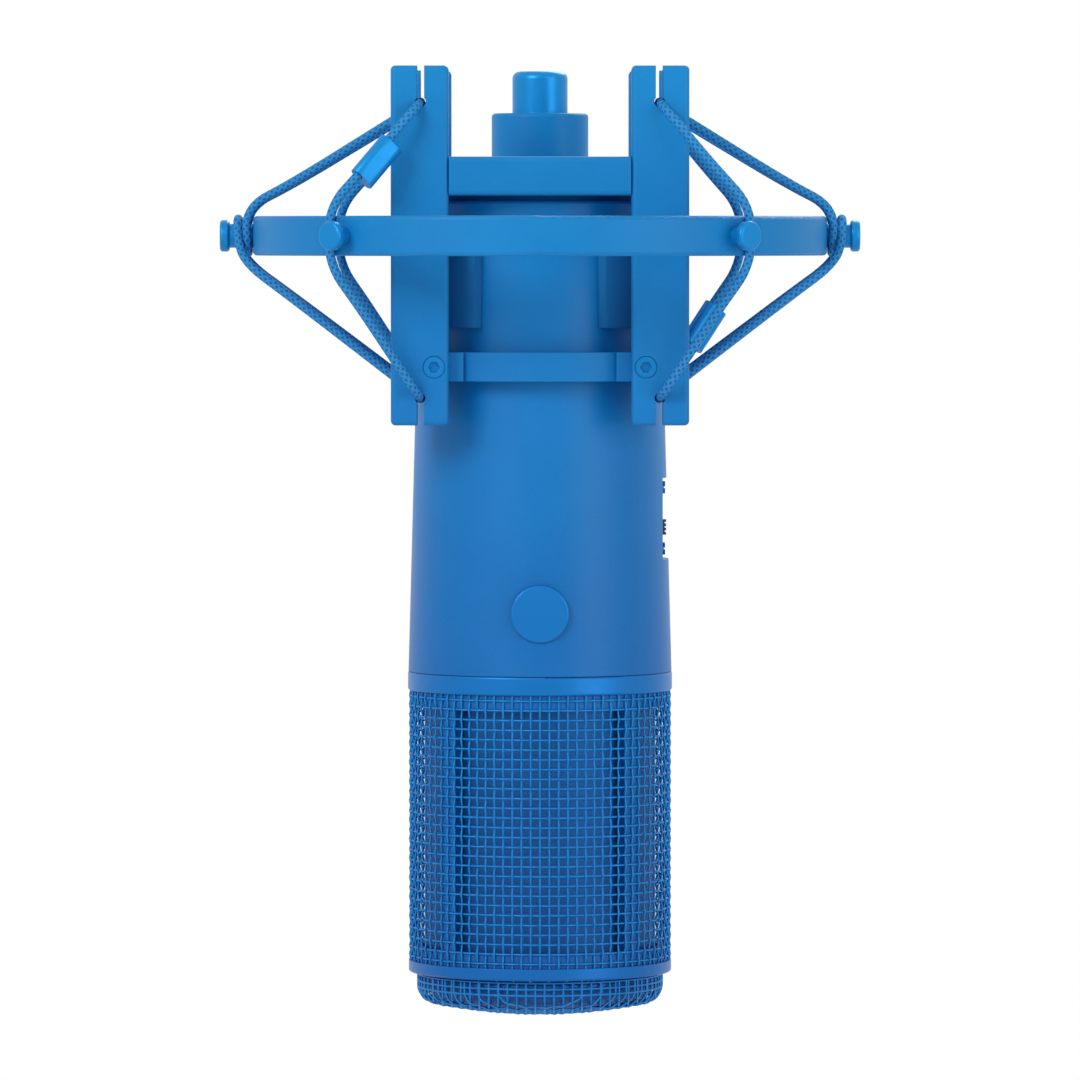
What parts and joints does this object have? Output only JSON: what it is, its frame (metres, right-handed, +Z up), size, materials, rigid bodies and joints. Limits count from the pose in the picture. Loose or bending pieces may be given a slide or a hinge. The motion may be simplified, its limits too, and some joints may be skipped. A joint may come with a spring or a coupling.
{
  "type": "condenser microphone",
  "caption": "Side-address condenser microphone hanging head down in a ring shock mount with elastic cords, a slotted-post cradle and a tilting stand socket.",
  "frame": {"origin": "mouth of the stand thread, at the top of the stand head, on the thread axis", "axes": "+Z up along the stand thread, out of its mouth; -Y is the front, the side the capsule faces; +X is the side with the slide switch"},
  "size_m": [0.1338, 0.1435, 0.1987],
  "materials": {
    "blue_paint": "satin powder coat, lighter at the top and deeper at the head",
    "blue_mesh": "coated woven wire",
    "blue_anodised": "satin anodised",
    "blue_cord": "braided elastic cord",
    "blue_rubber": "matte",
    "bright_steel": "turned",
    "fibre": "plain",
    "plastic_black": "moulded",
    "gold": "plated",
    "board": "solder mask",
    "film": "sputtered gold film",
    "aluminium_plain": "machined"
  },
  "bodies": {
    "stand_head": {"stand_socket": "blue_paint", "thread_adapter": "blue_anodised"},
    "mount_ring": {"outer_ring": "blue_paint", "end_pegs": "blue_anodised", "corner_pegs": "blue_anodised", "ring_bracket": "blue_paint", "bracket_screws": "bright_steel", "tilt_bolt": "bright_steel", "friction_washers": "fibre", "plain_washer": "bright_steel", "elastic_upper_right": "blue_cord", "elastic_lower_right": "blue_cord", "elastic_upper_left": "blue_cord", "elastic_lower_left": "blue_cord", "crimp_left": "blue_anodised", "crimp_right": "blue_anodised"},
    "cradle": {"cradle_plate": "blue_paint", "cradle_post_back_right": "blue_paint", "cradle_post_back_left": "blue_paint", "cradle_post_front_left": "blue_paint", "cradle_post_front_right": "blue_paint", "plate_screws": "blue_anodised", "lower_hoop": "blue_paint", "hoop_screws": "blue_anodised", "grip_pads": "blue_rubber", "base_washer": "blue_rubber", "body_tube": "blue_paint", "base_cap": "blue_paint", "base_screws": "blue_anodised", "connector_shell": "bright_steel", "connector_insert": "plastic_black", "connector_pins": "gold", "switch_body": "plastic_black", "switch_screws": "blue_anodised", "badge": "blue_anodised", "chassis_rails": "aluminium_plain", "circuit_board": "board", "transformer": "bright_steel", "capacitors": "plastic_black", "transistor": "bright_steel", "head_collar": "blue_anodised", "head_floor": "aluminium_plain", "floor_screws": "bright_steel", "grille_frame": "blue_paint", "grille_mesh": "blue_mesh", "end_ring": "blue_anodised", "end_mesh": "blue_mesh", "inner_mesh": "blue_mesh", "capsule_housing": "gold", "capsule_backplate": "gold", "diaphragms": "film", "clamp_rings": "gold", "clamp_screws": "bright_steel", "capsule_saddle": "plastic_black", "isolator": "blue_rubber", "capsule_leads": "plastic_black"},
    "tilt_knob": {"tilt_knob": "blue_anodised"},
    "lock_ring": {"lock_ring": "blue_anodised"},
    "switch_slider": {"switch_slider": "plastic_black"}
  },
  "joints": [
    {"name": "tilt", "type": "hinge", "parent": "stand_head", "child": "mount_ring", "pos_m": [0, 0, -0.0357], "axis": [1, 0, 0], "range_deg": [-30, 90]},
    {"name": "knob_turn", "type": "hinge", "parent": "mount_ring", "child": "tilt_knob", "pos_m": [0.016, 0, -0.0357], "axis": [1, 0, 0], "range_deg": [0, 360]},
    {"name": "bounce", "type": "slide", "parent": "mount_ring", "child": "cradle", "axis": [0, 0, 1], "range_m": [-0.004, 0.004], "stiffness_N_per_m": 1300, "springref_m": 0.00409, "deforming": ["elastic_upper_right", "elastic_upper_left", "elastic_lower_right", "elastic_lower_left"]},
    {"name": "lock_ring_turn", "type": "hinge", "parent": "cradle", "child": "lock_ring", "pos_m": [0, -0.073, -0.0221], "axis": [0, 0, 1], "range_deg": [0, 360]},
    {"name": "switch_slide", "type": "slide", "parent": "cradle", "child": "switch_slider", "axis": [0, 0, 1], "range_m": [0, 0.0038]}
  ]
}
